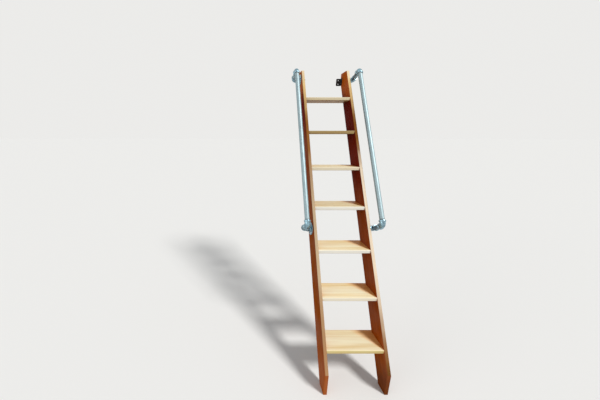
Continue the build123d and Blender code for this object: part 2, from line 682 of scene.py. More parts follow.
def parts_of(vector):
    """The three parts of a vector."""
    return add_node(tree_of(vector), "ShaderNodeSeparateXYZ", {0: vector}).outputs


def spread(value, low, high, to_low=0.0, to_high=1.0):
    """A value brought from between two bounds to between two others, and held there."""
    given = dict(enumerate((value, low, high, to_low, to_high)))
    return add_node(tree_of(value), "ShaderNodeMapRange", given).outputs[0]


def graded(value, stops, interpolation="LINEAR"):
    """A level that follows a list of stops, each a value from nought to one and its level."""
    node = add_node(tree_of(value), "ShaderNodeValToRGB", {0: value})
    node.color_ramp.interpolation = interpolation
    elements = node.color_ramp.elements
    elements.remove(elements[1])
    for index, (position, level) in enumerate(stops):
        element = elements[0] if index == 0 else elements.new(position)
        element.position = position
        element.color = (level, level, level, 1)
    return node.outputs[0]


def blend(factor, first, second, mode="MIX"):
    """A colour between two others. The Mix node's sockets for colours are 6, 7 and output 2."""
    given = {0: factor, 6: first, 7: second}
    tree = tree_of(factor, first, second)
    node = add_node(tree, "ShaderNodeMix", given, data_type="RGBA", blend_type=mode)
    return node.outputs[2]


def tinted(factor, colour, tint):
    """A colour multiplied by a tint, as far as the factor says."""
    return blend(factor, colour, tint, "MULTIPLY")


def noise(vector, scale, detail=2.0, roughness=0.5):
    """Noise with one scale, or with one for each axis."""
    if isinstance(scale, tuple):
        vector, scale = vector_calc("MULTIPLY", vector, scale), 1.0
    given = {"Vector": vector, "Scale": scale, "Detail": detail, "Roughness": roughness}
    return add_node(tree_of(vector), "ShaderNodeTexNoise", given).outputs["Fac"]


def chance(number):
    """What a whole number draws: a colour and a value that always stay its own."""
    kind = "ShaderNodeTexWhiteNoise"
    return add_node(tree_of(number), kind, {"W": number}, noise_dimensions="1D").outputs


def new_group(name, sizes, results):
    """A group that takes a vector and some sizes: its tree, its inputs and its outputs."""
    tree = bpy.data.node_groups.new(name, "ShaderNodeTree")
    new_socket = tree.interface.new_socket
    new_socket(name="Vector", in_out="INPUT", socket_type="NodeSocketVector")
    for size, default in sizes.items():
        socket = new_socket(name=size, in_out="INPUT", socket_type="NodeSocketFloat")
        socket.default_value = default
    for result in results:
        new_socket(name=result, in_out="OUTPUT", socket_type="NodeSocketFloat")
    put = add_node(tree, "NodeGroupOutput").inputs
    return tree, add_node(tree, "NodeGroupInput").outputs, put


def use_group(name, vector, **sizes):
    """A group placed in a material with its own sizes, and built when it is first used."""
    if name not in bpy.data.node_groups:
        GROUPS[name]()
    given = {size.replace("_", " ").capitalize(): value for size, value in sizes.items()}
    given["Vector"] = vector
    group = bpy.data.node_groups[name]
    return add_node(tree_of(vector), "ShaderNodeGroup", given, node_tree=group).outputs


def sawn_wood_group():
    """Growth rings, fibres and pores of a board whose length is Z and whose pith is the Z axis."""
    tree, given, put = new_group(
        "Sawn wood", {"Ring width": 0.005, "Wander": 0.01}, ("Ring", "Fibre", "Pore", "Height")
    )
    vector, wander = given["Vector"], given["Wander"]
    slow = calc("SUBTRACT", noise(vector, (5, 5, 1.1), 1.0), 0.5)
    quick = calc("SUBTRACT", noise(vector, (34, 34, 5.0)), 0.5)
    from_pith = vector_calc("LENGTH", vector_calc("MULTIPLY", vector, (1, 1, 0)))
    from_pith = plus(from_pith, times(slow, wander), times(quick, wander, 0.16))
    years = calc("DIVIDE", from_pith, given["Ring width"])
    spells = {"W": years, "Scale": 0.31, "Detail": 1.0}
    seasons = add_node(tree, "ShaderNodeTexNoise", spells, noise_dimensions="1D")
    years = plus(years, times(seasons.outputs["Fac"], 2.6))
    strength = spread(chance(calc("FLOOR", years))["Value"], 0, 1, 0.35, 1.0)
    ring = times(graded(calc("FRACT", years), YEAR, "B_SPLINE"), strength)
    fibre = noise(vector, (620, 620, 9), 3.0, 0.65)
    pore = spread(noise(vector, (900, 900, 55), 1.0), 0.66, 0.78)
    feed(put["Ring"], ring)
    feed(put["Fibre"], fibre)
    feed(put["Pore"], pore)
    feed(put["Height"], plus(calc("SUBTRACT", times(fibre, 0.7), pore), times(ring, 0.5)))


def crevice_group():
    """A mask of painted shade, with some dirt, where pieces meet and in inner corners."""
    tree, given, put = new_group("Crevice shade and dirt", {"Reach": 0.010}, ("Mask",))
    reach = {"Distance": given["Reach"]}
    closeness = add_node(tree, "ShaderNodeAmbientOcclusion", reach, samples=8)
    hidden = spread(closeness.outputs["AO"], 0.88, 0.45)
    broken = spread(noise(given["Vector"], (110, 110, 110), 3.0), 0.3, 0.6, 0.5, 1.0)
    feed(put["Mask"], times(hidden, broken))


def edge_wear_group():
    """A mask of the worn edges, broken up by noise."""
    tree, given, put = new_group("Edge wear", {"Radius": 0.002, "Grain size": 120.0}, ("Mask",))
    rounded = add_node(tree, "ShaderNodeBevel", {"Radius": given["Radius"]}, samples=4)
    true_normal = add_node(tree, "ShaderNodeNewGeometry").outputs["True Normal"]
    facing = vector_calc("DOT_PRODUCT", rounded.outputs["Normal"], true_normal)
    edge = spread(facing, 0.995, 0.90)
    broken = spread(noise(given["Vector"], given["Grain size"], 4.0), 0.38, 0.62)
    feed(put["Mask"], times(edge, broken))


def handling_group():
    """Slow blotches of handling and dust, and a fine speckle."""
    _, given, put = new_group("Handling", {"Size": 6.0}, ("Blotch", "Speckle"))
    vector = given["Vector"]
    feed(put["Blotch"], spread(noise(vector, given["Size"], 5.0), 0.35, 0.68))
    feed(put["Speckle"], spread(noise(vector, 1400.0, 1.0), 0.60, 0.74))


def zinc_group():
    """Crystals, runs and grit of a zinc coat on a pipe along the rake or a casting."""
    results = ("Crystal", "Run", "Height")
    tree, given, put = new_group("Zinc coat", {"Crystal size": 210.0}, results)
    vector = given["Vector"]
    sizes = {"Vector": vector, "Scale": given["Crystal size"]}
    cells = add_node(tree, "ShaderNodeTexVoronoi", sizes, feature="F1")
    shade = add_node(tree, "ShaderNodeSeparateColor", {0: cells.outputs["Color"]}).outputs[0]
    raked = {"Vector": vector, "Rotation": (pi / 2 - RAKE, 0, 0)}
    down_pipe = add_node(tree, "ShaderNodeMapping", raked).outputs[0]
    run = noise(down_pipe, (160, 160, 7), 3.0)
    grit = noise(vector, (520, 520, 520), 3.0)
    feed(put["Crystal"], shade)
    feed(put["Run"], spread(run, 0.35, 0.65))
    feed(put["Height"], plus(times(shade, 0.3), grit))


GROUPS = {
    "Sawn wood": sawn_wood_group,
    "Crevice shade and dirt": crevice_group,
    "Edge wear": edge_wear_group,
    "Handling": handling_group,
    "Zinc coat": zinc_group,
}


def new_material(name):
    """A new material: its shader's inputs, and a point's place and normal on its piece."""
    material = bpy.data.materials.new(name)
    material.use_nodes = True
    nodes = material.node_tree.nodes
    point = nodes.new("ShaderNodeTexCoord").outputs
    return nodes["Principled BSDF"].inputs, point["Object"], point["Normal"]


def bump(shader, height, strength, distance):
    """Feeds a height to the shader's normal."""
    given = {"Strength": strength, "Distance": distance, "Height": height}
    node = add_node(tree_of(height), "ShaderNodeBump", given)
    feed(shader["Normal"], node.outputs["Normal"])


def solid_wood(shader, place, normal, number, board):
    """Rings and fibres through each board, darker end grain and soft worn edges: its colour.

    A board's place is moved back by whole steps, turned to its length and measured from its
    pith, which drifts from one board's number to the next.
    """
    back = vector_calc("MULTIPLY", number, board["step"])
    given = {
        "Vector": vector_calc("SUBTRACT", place, back),
        "Rotation": board["turn"],
        "Location": board["pith"],
    }
    level = add_node(tree_of(place), "ShaderNodeMapping", given).outputs[0]
    own = chance(number)
    shift = vector_calc("SUBTRACT", own["Color"], (0.5, 0.5, 0.5))
    shift = vector_calc("MULTIPLY", shift, board["drift"])
    figure = use_group(
        "Sawn wood",
        vector_calc("ADD", level, shift),
        ring_width=board["ring_width"],
        wander=board["wander"],
    )
    handling = use_group("Handling", place, size=7.0)
    wear = use_group("Edge wear", place, radius=0.0022, grain_size=150.0)
    pale, dark = board["pale"], board["dark"]
    colour = blend(figure["Ring"], pale, dark)
    colour = tinted(spread(figure["Fibre"], 0.3, 0.7, 0.0, 0.22), colour, dark)
    colour = blend(times(figure["Pore"], 0.35), colour, dark)
    given = {
        "Value": spread(own["Value"], 0, 1, 0.93, 1.06),
        "Saturation": spread(handling["Blotch"], 0, 1, 0.96, 1.06),
        "Color": colour,
    }
    colour = add_node(tree_of(colour), "ShaderNodeHueSaturation", given).outputs[0]
    end_grain = spread(calc("ABSOLUTE", dot(normal, board["length"])), 0.35, 0.75)
    colour = blend(times(end_grain, 0.45), colour, dark)
    rough = spread(figure["Ring"], 0, 1, board["rough"] + 0.08, board["rough"])
    rough = plus(rough, times(handling["Blotch"], 0.10), times(end_grain, 0.25))
    feed(shader["Roughness"], rough)
    feed(shader["Specular IOR Level"], board["gloss"])
    bump(shader, figure["Height"], 0.5, 0.00025)
    return blend(times(wear["Mask"], 0.35), colour, pale)


def for_tread(share, levels):
    """The level of a tread, from its share of the treads' number and a list of levels."""
    return graded(share, [(index / TREAD_COUNT, level) for index, level in enumerate(levels)])


def tread_material():
    """Pale rift-sawn boards with straight lines along them, a painted highlight along each nose,
    painted light and shade on the fronts and on whole treads, and painted shadow and shade at the
    ends and on the undersides.
    """
    wood = bpy.context.scene.loft_stair_wood
    shader, place, normal = new_material("Tread wood")
    across, _, height = parts_of(place)
    # Counted from just below the floor, so that each tread lies well inside its own step.
    above = calc("SUBTRACT", height, FLOOR_LEVEL - 0.1)
    number = calc("FLOOR", calc("DIVIDE", above, RISE))
    share = calc("DIVIDE", number, TREAD_COUNT)
    board = {
        "step": (0, GOING, RISE),
        "turn": (0, pi / 2, 0),
        "pith": (0.95 - FLOOR_LEVEL, 0.30 - (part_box("tread_1")[0].y - GOING), 0),
        "drift": (0.16, 0.20, 3.0),
        "length": (1, 0, 0),
        "pale": wood.tread_pale,
        "dark": wood.tread_dark,
        "ring_width": wood.tread_ring,
        "wander": 0.007,
        "rough": 0.38,
        "gloss": 0.3,
    }
    colour = solid_wood(shader, place, normal, number, board)
    behind = calc("SUBTRACT", dot(place, INTO_RAKE), FRONT_PLANE)
    upward = dot(normal, UPRIGHT)
    front = spread(dot(normal, FORWARD), 0.35, 0.9)

    streaks = spread(noise(place, (2.2, 42, 42)), 0.42, 0.62, 0.0, 0.5)
    colour = tinted(streaks, colour, wood.tread_dark)
    middle = times(spread(behind, 0.025, 0.055), upward, spread(behind, 0.125, 0.085))
    colour = blend(times(middle, spread(number, 2, 4, 0.5, 0.1)), colour, wood.trodden)
    # Painted highlight: a pale band along the top of each nose.
    worn = times(spread(behind, 0.026, 0.004), spread(upward, 0.3, 0.8))
    colour = blend(times(worn, 0.6), colour, wood.nose_highlight)
    # Painted light: the fronts of the middle treads are paler.
    lightened = times(front, for_tread(share, NOSE_LIGHTING))
    colour = blend(lightened, colour, wood.lit_nose)
    # Painted shade on the lowest tread's front.
    lowest = calc("LESS_THAN", number, 1.5)
    colour = tinted(times(front, lowest), colour, wood.lowest_front_shade)
    # Painted shade: some treads are darker, most of all the second highest, except on their lit
    # fronts.
    brown_shade = times(for_tread(share, TREAD_SHADING), calc("SUBTRACT", 1, lightened))
    colour = tinted(brown_shade, colour, wood.tread_shade)

    # Painted shadow: a wedge on each tread's top that widens back from the right stringer's front
    # corner, and painted shade in the corners at both ends.
    corner = use_group("Crevice shade and dirt", place, reach=0.05)["Mask"]
    aside = calc("SUBTRACT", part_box("stringer_right")[0].x, across)
    slant = calc("DIVIDE", aside, calc("MAXIMUM", behind, MILLIMETRE))
    shadowed = times(spread(slant, 1.05, 0.40), upward)
    shadowed = calc("MAXIMUM", shadowed, times(corner, 0.35))
    colour = tinted(shadowed, colour, wood.stringer_shadow)
    # Painted shade on the undersides.
    colour = tinted(spread(upward, -0.3, -0.8), colour, wood.underside_shade)
    feed(shader["Base Color"], colour)


def stringer_material():
    """Red-brown flat-sawn boards, darkened up the stair by painted shade, whose front edges are
    pale, partly faded wood and partly painted window light.
    """
    wood = bpy.context.scene.loft_stair_wood
    shader, place, normal = new_material("Stringer wood")
    across, _, height = parts_of(place)
    right = calc("GREATER_THAN", across, STAIR_CENTRE)
    board = {
        "step": (0, 0, 0),
        "turn": (pi / 2 - RAKE, 0, 0.035),
        "pith": (0.11, 0.17, 0),
        "drift": (0.06, 0.06, 5.0),
        "length": UP_RAKE,
        "pale": wood.stringer_pale,
        "dark": wood.stringer_dark,
        "ring_width": wood.stringer_ring,
        "wander": 0.022,
        "rough": 0.52,
        "gloss": 0.02,
    }
    plain = solid_wood(shader, place, normal, right, board)
    up = calc("DIVIDE", calc("SUBTRACT", height, FLOOR_LEVEL), LOFT_HEIGHT)
    up = plus(up, spread(noise(place, (3, 7, 7)), 0.3, 0.7, -0.02, 0.02))

    def by_side(on_left, on_right):
        """One value on the left stringer and another on the right one."""
        return spread(right, 0, 1, on_left, on_right)

    # Painted light: the left stringer is lighter all over. The faces are also lighter near the
    # floor and near the loft, and the right stringer is darker at its foot.
    tone = times(
        by_side(1.16, 1.0),
        spread(up, 0.05, 0.17, 1.32, 1.0),
        spread(up, 0.86, 0.91, 1.0, 1.4),
        by_side(1.0, spread(up, 0.02, 0.09, 0.55, 1.15)),
    )
    # Painted shade: the faces darken up the stair, fully on the right stringer's inner face and
    # high up on every face, elsewhere by less than half.
    inner = times(right, dot(normal, (-1, 0, 0)))
    shaded = spread(inner, 0, 0.5, spread(up, 0.70, 0.78, 0.45, 1.0), 1)
    face = tinted(1.0, plain, tone)
    face = tinted(times(graded(up, FACE_SHADING), shaded), face, wood.face_shade)

    # The front edges' brown, partly painted shade; the right edge is darker still, most of all
    # near the floor.
    brown = blend(0.6, face, wood.brown_shade)
    brown = tinted(1.0, brown, by_side(1.0, spread(up, 0.05, 0.12, 0.5, 0.8)))
    # Painted shade: below the loft the left front edge's pale colour is greyer and darker.
    left_shade_share = by_side(spread(up, 0.80, 0.86, 1.0, 0.2), 0.0)
    pale = tinted(left_shade_share, wood.lightened, wood.left_edge_shade)
    # Painted light and shade along each front edge: pale where window light falls, brown where
    # shade falls, and partly faded wood.
    fade_and_light = by_side(graded(up, EDGE_FADE_AND_LIGHT["left"]), graded(up, EDGE_FADE_AND_LIGHT["right"]))
    patches = spread(noise(place, (9, 4, 4), 3.0), 0.25, 0.6, 0.8, 1.0)
    edge = blend(times(fade_and_light, patches), brown, pale)
    edge = tinted(graded(up, EDGE_WARMING), edge, wood.warmed)

    front = spread(dot(normal, -INTO_RAKE), 0.5, 0.85)
    not_plumb = spread(dot(normal, FORWARD), 0.90, 0.97, 1.0, 0.15)
    feed(shader["Base Color"], blend(times(front, not_plumb), face, edge))


def dimmed(colour, share):
    """A colour at a share of its brightness, and no brighter than white."""
    return (*(min(1, share * channel) for channel in colour[:3]), 1)


def zinc_material(name, colour, rough, grit, stain_size, stain_depth):
    """Galvanised metal: crystals, runs, dull stains, bright worn edges, and painted shade with
    dirt in its crevices.
    """
    shader, place, _ = new_material(name)
    coat = use_group("Zinc coat", place, crystal_size=210.0)
    handling = use_group("Handling", place, size=stain_size)
    wear = use_group("Edge wear", place, radius=0.0012, grain_size=260.0)
    shade_and_grime = use_group("Crevice shade and dirt", place, reach=0.014)
    light, deep, stained = (dimmed(colour, share) for share in (1.35, 0.62, 0.30))
    body = blend(spread(coat["Crystal"], 0, 1, 0.25, 0.75), deep, light)
    body = blend(times(coat["Run"], 0.35), body, light)
    body = blend(times(handling["Blotch"], stain_depth), body, stained)
    body = blend(times(wear["Mask"], 0.6), body, RUBBED_ZINC)
    body = blend(times(handling["Speckle"], 0.2), body, deep)
    # Painted shade, with some dirt, where pieces meet and in crevices.
    body = blend(times(shade_and_grime["Mask"], 0.85), body, ZINC_SHADE_AND_GRIME)
    roughness = spread(coat["Crystal"], 0, 1, rough - 0.07, rough + 0.09)
    feed(shader["Base Color"], body)
    feed(shader["Metallic"], 0.85)
    feed(shader["Roughness"], plus(roughness, times(coat["Run"], 0.10)))
    bump(shader, coat["Height"], 0.6, grit)


def pipe_material():
    """Drawn pipe, with a fine coat and faint broad stains."""
    colour = bpy.context.scene.loft_stair_fittings.zinc
    zinc_material("Galvanised pipe", colour, 0.50, 0.06 * MILLIMETRE, 14.0, 0.15)


def casting_material():
    """Castings, with a glossier and coarser coat and deep small stains."""
    colour = bpy.context.scene.loft_stair_fittings.casting
    zinc_material("Galvanised casting", colour, 0.23, 0.3 * MILLIMETRE, 48.0, 0.70)


def black_steel_material():
    """Black oxide steel, scuffed to grey at its edges."""
    shader, place, _ = new_material("Black steel")
    handling = use_group("Handling", place, size=40.0)
    wear = use_group("Edge wear", place, radius=0.0011, grain_size=300.0)
    body = blend(handling["Blotch"], BLACK_OXIDE, HANDLED_OXIDE)
    body = blend(times(wear["Mask"], 0.7), body, RUBBED_STEEL)
    body = blend(times(handling["Speckle"], 0.3), body, SPECKLED_STEEL)
    feed(shader["Base Color"], body)
    feed(shader["Metallic"], 0.7)
    feed(shader["Roughness"], spread(handling["Blotch"], 0, 1, 0.38, 0.58))
    bump(shader, handling["Speckle"], 0.4, 0.2 * MILLIMETRE)


FINISHES = {
    "Tread wood": tread_material,
    "Stringer wood": stringer_material,
    "Galvanised pipe": pipe_material,
    "Galvanised casting": casting_material,
    "Black steel": black_steel_material,
}


def finish(name):
    """A finished material by name, made when it is first asked for."""
    if name not in bpy.data.materials:
        FINISHES[name]()
    return bpy.data.materials[name]


def dress(starts, finish_name):
    """Puts a material in every slot of the CAD nodes whose names start with some words."""
    for name in sorted(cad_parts):
        if name.startswith(starts):
            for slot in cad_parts[name].material_slots:
                slot.material = finish(finish_name)


def seen_directly(tree):
    """One where the camera, a reflection or glass looks, and nought where light is gathered."""
    path = add_node(tree, "ShaderNodeLightPath").outputs
    seen = calc("MAXIMUM", path["Is Camera Ray"], path["Is Glossy Ray"])
    return calc("MAXIMUM", seen, path["Is Transmission Ray"])


# Operators: the stage, and then each kind of piece.


class LOFTSTAIR_OT_stage(Operator):
    """Set up the floor, the soft light and the camera"""

    bl_idname = "loft_stair.stage"
    bl_label = "Set Up Stage"

    def floor(self, stage):
        """A wide plain floor under the feet, seen paler than it lights the stair."""
        at = (0, 0, FLOOR_LEVEL)
        floor = primitive(bpy.ops.mesh.primitive_plane_add, size=400, location=at)
        floor.name = "floor"
        shader, place, _ = new_material("Floor")
        seen = seen_directly(tree_of(place))
        feed(shader["Base Color"], blend(seen, stage.floor_bounce, stage.floor_colour))
        feed(shader["Roughness"], 0.9)
        feed(shader["Specular IOR Level"], 0.0)
        floor.data.materials.append(bpy.data.materials["Floor"])

    def world(self, stage):
        """Even light from all round, and a pale background for the camera and for reflections."""
        world = bpy.data.worlds.new("Studio")
        bpy.context.scene.world = world
        world.use_nodes = True
        tree = world.node_tree
        tree.nodes.clear()
        given = {"Color": stage.fill_colour, "Strength": stage.fill_level}
        fill = add_node(tree, "ShaderNodeBackground", given)
        given = {"Color": stage.background, "Strength": 1.0}
        pale = add_node(tree, "ShaderNodeBackground", given)
        given = {0: seen_directly(tree), 1: fill.outputs[0], 2: pale.outputs[0]}
        choice = add_node(tree, "ShaderNodeMixShader", given)
        add_node(tree, "ShaderNodeOutputWorld", {"Surface": choice.outputs[0]})

    def lamp(self, name, colour, level, softness, towards):
        """A soft lamp, so far off that it lights the whole stair evenly."""
        data = bpy.data.lights.new(name, "SUN")
        data.energy = level
        data.angle = softness
        data.color = colour
        lamp = bpy.data.objects.new(name, data)
        bpy.context.collection.objects.link(lamp)
        lamp.location = towards * 4
        lamp.rotation_euler = towards.to_track_quat("Z", "Y").to_euler()

    def camera(self, stage):
        """The photograph's eye, which looks straight along the room and a little down."""
        data = bpy.data.cameras.new("camera")
        data.sensor_width = 36
        data.lens = stage.lens
        data.shift_x = FRAME_SHIFT
        camera = bpy.data.objects.new("camera", data)
        bpy.context.collection.objects.link(camera)
        camera.location = EYE
        camera.rotation_euler = (radians(90) - EYE_TILT, 0, 0)
        bpy.context.scene.camera = camera

    def execute(self, context):
        stage = context.scene.loft_stair_stage
        self.floor(stage)
        self.world(stage)
        colour = stage.lamp_colour
        self.lamp("key", colour, stage.key_level, stage.key_softness, KEY_DIRECTION)
        self.lamp("side", colour, stage.side_level, stage.side_softness, SIDE_DIRECTION)
        context.scene.view_settings.view_transform = "Standard"
        self.camera(stage)
        return {"FINISHED"}


class LOFTSTAIR_OT_treads(Operator):
    """Give the treads their wood"""

    bl_idname = "loft_stair.treads"
    bl_label = "Finish Treads"

    def execute(self, context):
        dress("tread_", "Tread wood")
        return {"FINISHED"}


class LOFTSTAIR_OT_stringers(Operator):
    """Model the stringers as whole boards that close round the treads' ends"""

    bl_idname = "loft_stair.stringers"
    bl_label = "Make Stringers"

    def cut(self, board, place, normal):
        """Saws off what lies beyond a plane and closes the cut."""
        open_mesh(board)
        bpy.ops.mesh.select_all(action="SELECT")
        bpy.ops.mesh.bisect(plane_co=place, plane_no=normal, use_fill=True, clear_outer=True)
        close_mesh()

    def runs_up_rake(self, edge):
        """Whether an edge is one of the four long ones."""
        start, end = (vertex.co for vertex in edge.verts)
        return abs((end - start).normalized().dot(UP_RAKE)) > 0.999

    def master(self, wood, low, high):
        """The left stringer, sawn level and plumb at both ends out of a long raked board."""
        depth = wood.stringer_depth
        middle = (low + high) / 2
        middle += INTO_RAKE * (FRONT_PLANE + depth / 2 - middle.dot(INTO_RAKE))
        board = primitive(
            bpy.ops.mesh.primitive_cube_add,
            size=1,
            location=middle,
            rotation=(RAKE - pi / 2, 0, 0),
            scale=(high.x - low.x, depth, 2 * (high - low).length),
        )
        self.cut(board, low, -UPRIGHT)
        self.cut(board, high, UPRIGHT)
        self.cut(board, low, FORWARD)
        self.cut(board, high, -FORWARD)
        open_mesh(board)
        pick(board, "EDGE", self.runs_up_rake)
        bpy.ops.mesh.bevel(offset=wood.stringer_arris, segments=4)
        close_mesh()
        # The foot's corner turns by 29.5 degrees and stays sharp.
        smooth(board, 26)
        return board

    def execute(self, context):
        low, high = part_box("stringer_left")
        master = self.master(context.scene.loft_stair_wood, low, high)
        for side_name in SIDES:
            across = Vector((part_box(f"stringer_{side_name}")[0].x - low.x, 0, 0))
            piece = placed_copy(master, f"board_stringer_{side_name}", Matrix(), across)
            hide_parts(f"stringer_{side_name}")
            set_down(piece, "Stringer wood")
        bpy.data.objects.remove(master)
        return {"FINISHED"}


class LOFTSTAIR_OT_pipes(Operator):
    """Give the handrails, the nipples and the brackets their metal"""

    bl_idname = "loft_stair.pipes"
    bl_label = "Finish Pipes and Brackets"

    def execute(self, context):
        dress(("handrail_", "reach_nipple_", "wall_nipple_"), "Galvanised pipe")
        dress("angle_bracket_", "Black steel")
        return {"FINISHED"}


class LOFTSTAIR_OT_elbows(Operator):
    """Model the cast elbows with their rounded bands"""

    bl_idname = "loft_stair.elbows"
    bl_label = "Make Elbows"

    def leg_rings(self, sizes):
        """Rings of one leg from the bend to its end, and back in to the socket's shoulder."""
        body = sizes.body_radius
        band = sizes.band_radius
        socket = sizes.pipe_radius + SOCKET_SLACK
        # Each ring is how many millimetres it lies back from the leg's end, and its radius.
        slope = [(12.2, body + 0.3 * MILLIMETRE), (11.2, band - 1.7 * MILLIMETRE)]
        flat = [(10.2, band - 0.4 * MILLIMETRE), (9.0, band), (1.4, band)]
        mouth = [(0.4, band - 0.5 * MILLIMETRE), (0, band - 1.5 * MILLIMETRE)]
        bore = [(0, socket), (14, socket)]
        return [(sizes.bend_radius, body)] + [
            (sizes.elbow_reach - back * MILLIMETRE, radius)
            for back, radius in slope + flat + mouth + bore
        ]

    def draw_leg(self, elbow, sizes, axis, other):
        """Draws one leg out of the bend's end along an axis, closed at its socket's shoulder."""
        bend = sizes.bend_radius

        def ends_bend(vertex):
            """Whether a vertex lies on the end of the bend that faces along the axis."""
            return abs(vertex.co.dot(axis) - bend) < HAIR and vertex.co.dot(other) < bend

        pick(elbow, "VERT", ends_bend)
        draw_out(self.leg_rings(sizes), axis)
        bpy.ops.mesh.edge_face_add()

    def master(self, sizes):
        """One elbow whose corner is the origin and whose legs are X and Y."""
        bend = sizes.bend_radius
        elbow = primitive(
            bpy.ops.mesh.primitive_circle_add,
            vertices=48,
            radius=sizes.body_radius,
            fill_type="NOTHING",
            location=(bend, 0, 0),
            rotation=(0, pi / 2, 0),
        )
        open_mesh(elbow)
        bpy.ops.mesh.select_all(action="SELECT")
        bpy.ops.mesh.spin(steps=12, angle=pi / 2, center=(bend, bend, 0), axis=(0, 0, 1))
        first, second = Vector((1, 0, 0)), Vector((0, 1, 0))
        self.draw_leg(elbow, sizes, first, second)
        self.draw_leg(elbow, sizes, second, first)
        close_mesh()
        open_mesh(elbow)
        pick(
            elbow,
            "VERT",
            lambda vertex: abs(vertex.co.z) < HAIR and max(vertex.co.xy) < bend + HAIR,
        )
        bpy.ops.transform.shrink_fatten(value=sizes.parting_ridge)
        bpy.ops.object.mode_set(mode="OBJECT")
        smooth(elbow, 40)
        return elbow

    def execute(self, context):
        master = self.master(context.scene.loft_stair_fittings)
        for end, at in handrail_ends():
            legs = {
                "rail_elbow": (at.rail_corner, at.along, INTO_RAKE),
                "wall_elbow": (at.wall_corner, -INTO_RAKE, -at.outward),
            }
            for kind, (place, leg_a, leg_b) in legs.items():
                turn = Matrix((leg_a, leg_b, leg_a.cross(leg_b))).transposed().to_4x4()
                piece = placed_copy(master, f"cast_{kind}_{end}", turn, place)
                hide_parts(f"{kind}_{end}")
                set_down(piece, "Galvanised casting")
        bpy.data.objects.remove(master)
        return {"FINISHED"}


class LOFTSTAIR_OT_flanges(Operator):
    """Model the cast floor flanges with rounded rims and tapered hubs"""

    bl_idname = "loft_stair.flanges"
    bl_label = "Make Floor Flanges"

    def rings(self, sizes):
        """Rings of the plate's rim and top, the hub, and the socket inside it."""
        plate = sizes.flange_plate / MILLIMETRE
        socket = (sizes.pipe_radius + SOCKET_SLACK) / MILLIMETRE
        # Each ring is its height over the stringer's face and its radius, in millimetres.
        rim = [(0, 47.5), (plate - 1.8, 47.5), (plate - 0.8, 47.1), (plate - 0.1, 46.2)]
        top = [(plate, 45.0), (plate, 27.0), (plate + 0.6, 25.2), (plate + 2.4, 24.0)]
        hub = [(15.5, 22.5), (16.6, 22.1), (17.0, 21.3)]
        bore = [(17.0, socket), (3.0, socket)]
        rings = rim + top + hub + bore
        return [(place * MILLIMETRE, radius * MILLIMETRE) for place, radius in rings]

    def execute(self, context):
        master = turned(self.rings(context.scene.loft_stair_fittings), 72)
        smooth(master, 40)
        for end, at in handrail_ends():
            turn = basis(at.outward, UP_RAKE)
            piece = placed_copy(master, f"cast_flange_{end}", turn, at.seat)
            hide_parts(f"flange_{end}")
            set_down(piece, "Galvanised casting")
        bpy.data.objects.remove(master)
        return {"FINISHED"}


class LOFTSTAIR_OT_threads(Operator):
    """Model the turns of pipe thread that show beside the elbows"""

    bl_idname = "loft_stair.threads"
    bl_label = "Make Pipe Threads"

    def master(self, sizes):
        """A helical ridge on the upright axis, from the origin up."""
        pitch = sizes.thread_pitch
        thread = primitive(
            bpy.ops.mesh.primitive_circle_add,
            vertices=3,
            radius=0.36 * pitch,
            fill_type="NOTHING",
            location=(sizes.pipe_radius, 0, pitch / 2),
            rotation=(pi / 2, 0, 0),
        )
        helix = thread.modifiers.new("Helix", "SCREW")
        helix.axis = "Z"
        helix.angle = 2 * pi
        helix.screw_offset = pitch
        helix.iterations = sizes.thread_turns
        helix.steps = helix.render_steps = 40
        helix.use_merge_vertices = False
        bpy.ops.object.modifier_apply(modifier=helix.name)
        open_mesh(thread)
        bpy.ops.mesh.select_mode(type="EDGE")
        bpy.ops.mesh.select_all(action="DESELECT")
        bpy.ops.mesh.select_non_manifold()
        bpy.ops.mesh.fill_holes(sides=3)
        close_mesh()
        smooth(thread, 20)
        return thread

    def execute(self, context):
        sizes = context.scene.loft_stair_fittings
        master = self.master(sizes)
        for end, at in handrail_ends():
            starts = {
                "rail": (at.rail_corner, at.along),
                "reach_front": (at.rail_corner, INTO_RAKE),
                "reach_back": (at.wall_corner, -INTO_RAKE),
            }
            for name, (corner, axis) in starts.items():
                place = corner + axis * sizes.elbow_reach
                turn = basis(axis, at.outward)
                piece = placed_copy(master, f"thread_{name}_{end}", turn, place)
                set_down(piece, "Galvanised pipe")
        bpy.data.objects.remove(master)
        return {"FINISHED"}


def cross_head_screw(height):
    """A pan head with a cross recess, its seat on the origin's plane."""
    rings = [(share * height, part * SCREW_RADIUS) for share, part in SCREW_PROFILE]
    head = turned([(-0.15 * MILLIMETRE, 0.97 * SCREW_RADIUS)] + rings, 32)
    width = 0.95 * SCREW_RADIUS
    above, deep = 1.2 * height, 0.85 * height
    cross = primitive(
        bpy.ops.mesh.primitive_grid_add,
        x_subdivisions=3,
        y_subdivisions=3,
        size=width,
        location=(0, 0, above),
    )
    arm = width / 6
    open_mesh(cross)
    pick(cross, "VERT", lambda vertex: max(map(abs, vertex.co.xy)) < 1.1 * arm)
    bpy.ops.transform.resize(value=(0.6, 0.6, 1), center_override=(0, 0, above))
    pick(cross, "FACE", lambda face: min(map(abs, face.calc_center_median().xy)) > 0.9 * arm)
    bpy.ops.mesh.delete(type="FACE")
    bpy.ops.mesh.select_all(action="SELECT")
    bpy.ops.mesh.extrude_region_move(TRANSFORM_OT_translate={"value": (0, 0, -deep)})
    bpy.ops.transform.resize(value=(0.55, 0.55, 1), center_override=(0, 0, above - deep))
    close_mesh()
    only(head)
    recess = head.modifiers.new("Recess", "BOOLEAN")
    recess.operation = "DIFFERENCE"
    recess.solver = "EXACT"
    recess.object = cross
    bpy.ops.object.modifier_apply(modifier=recess.name)
    bpy.data.objects.remove(cross)
    smooth(head, 32)
    return head


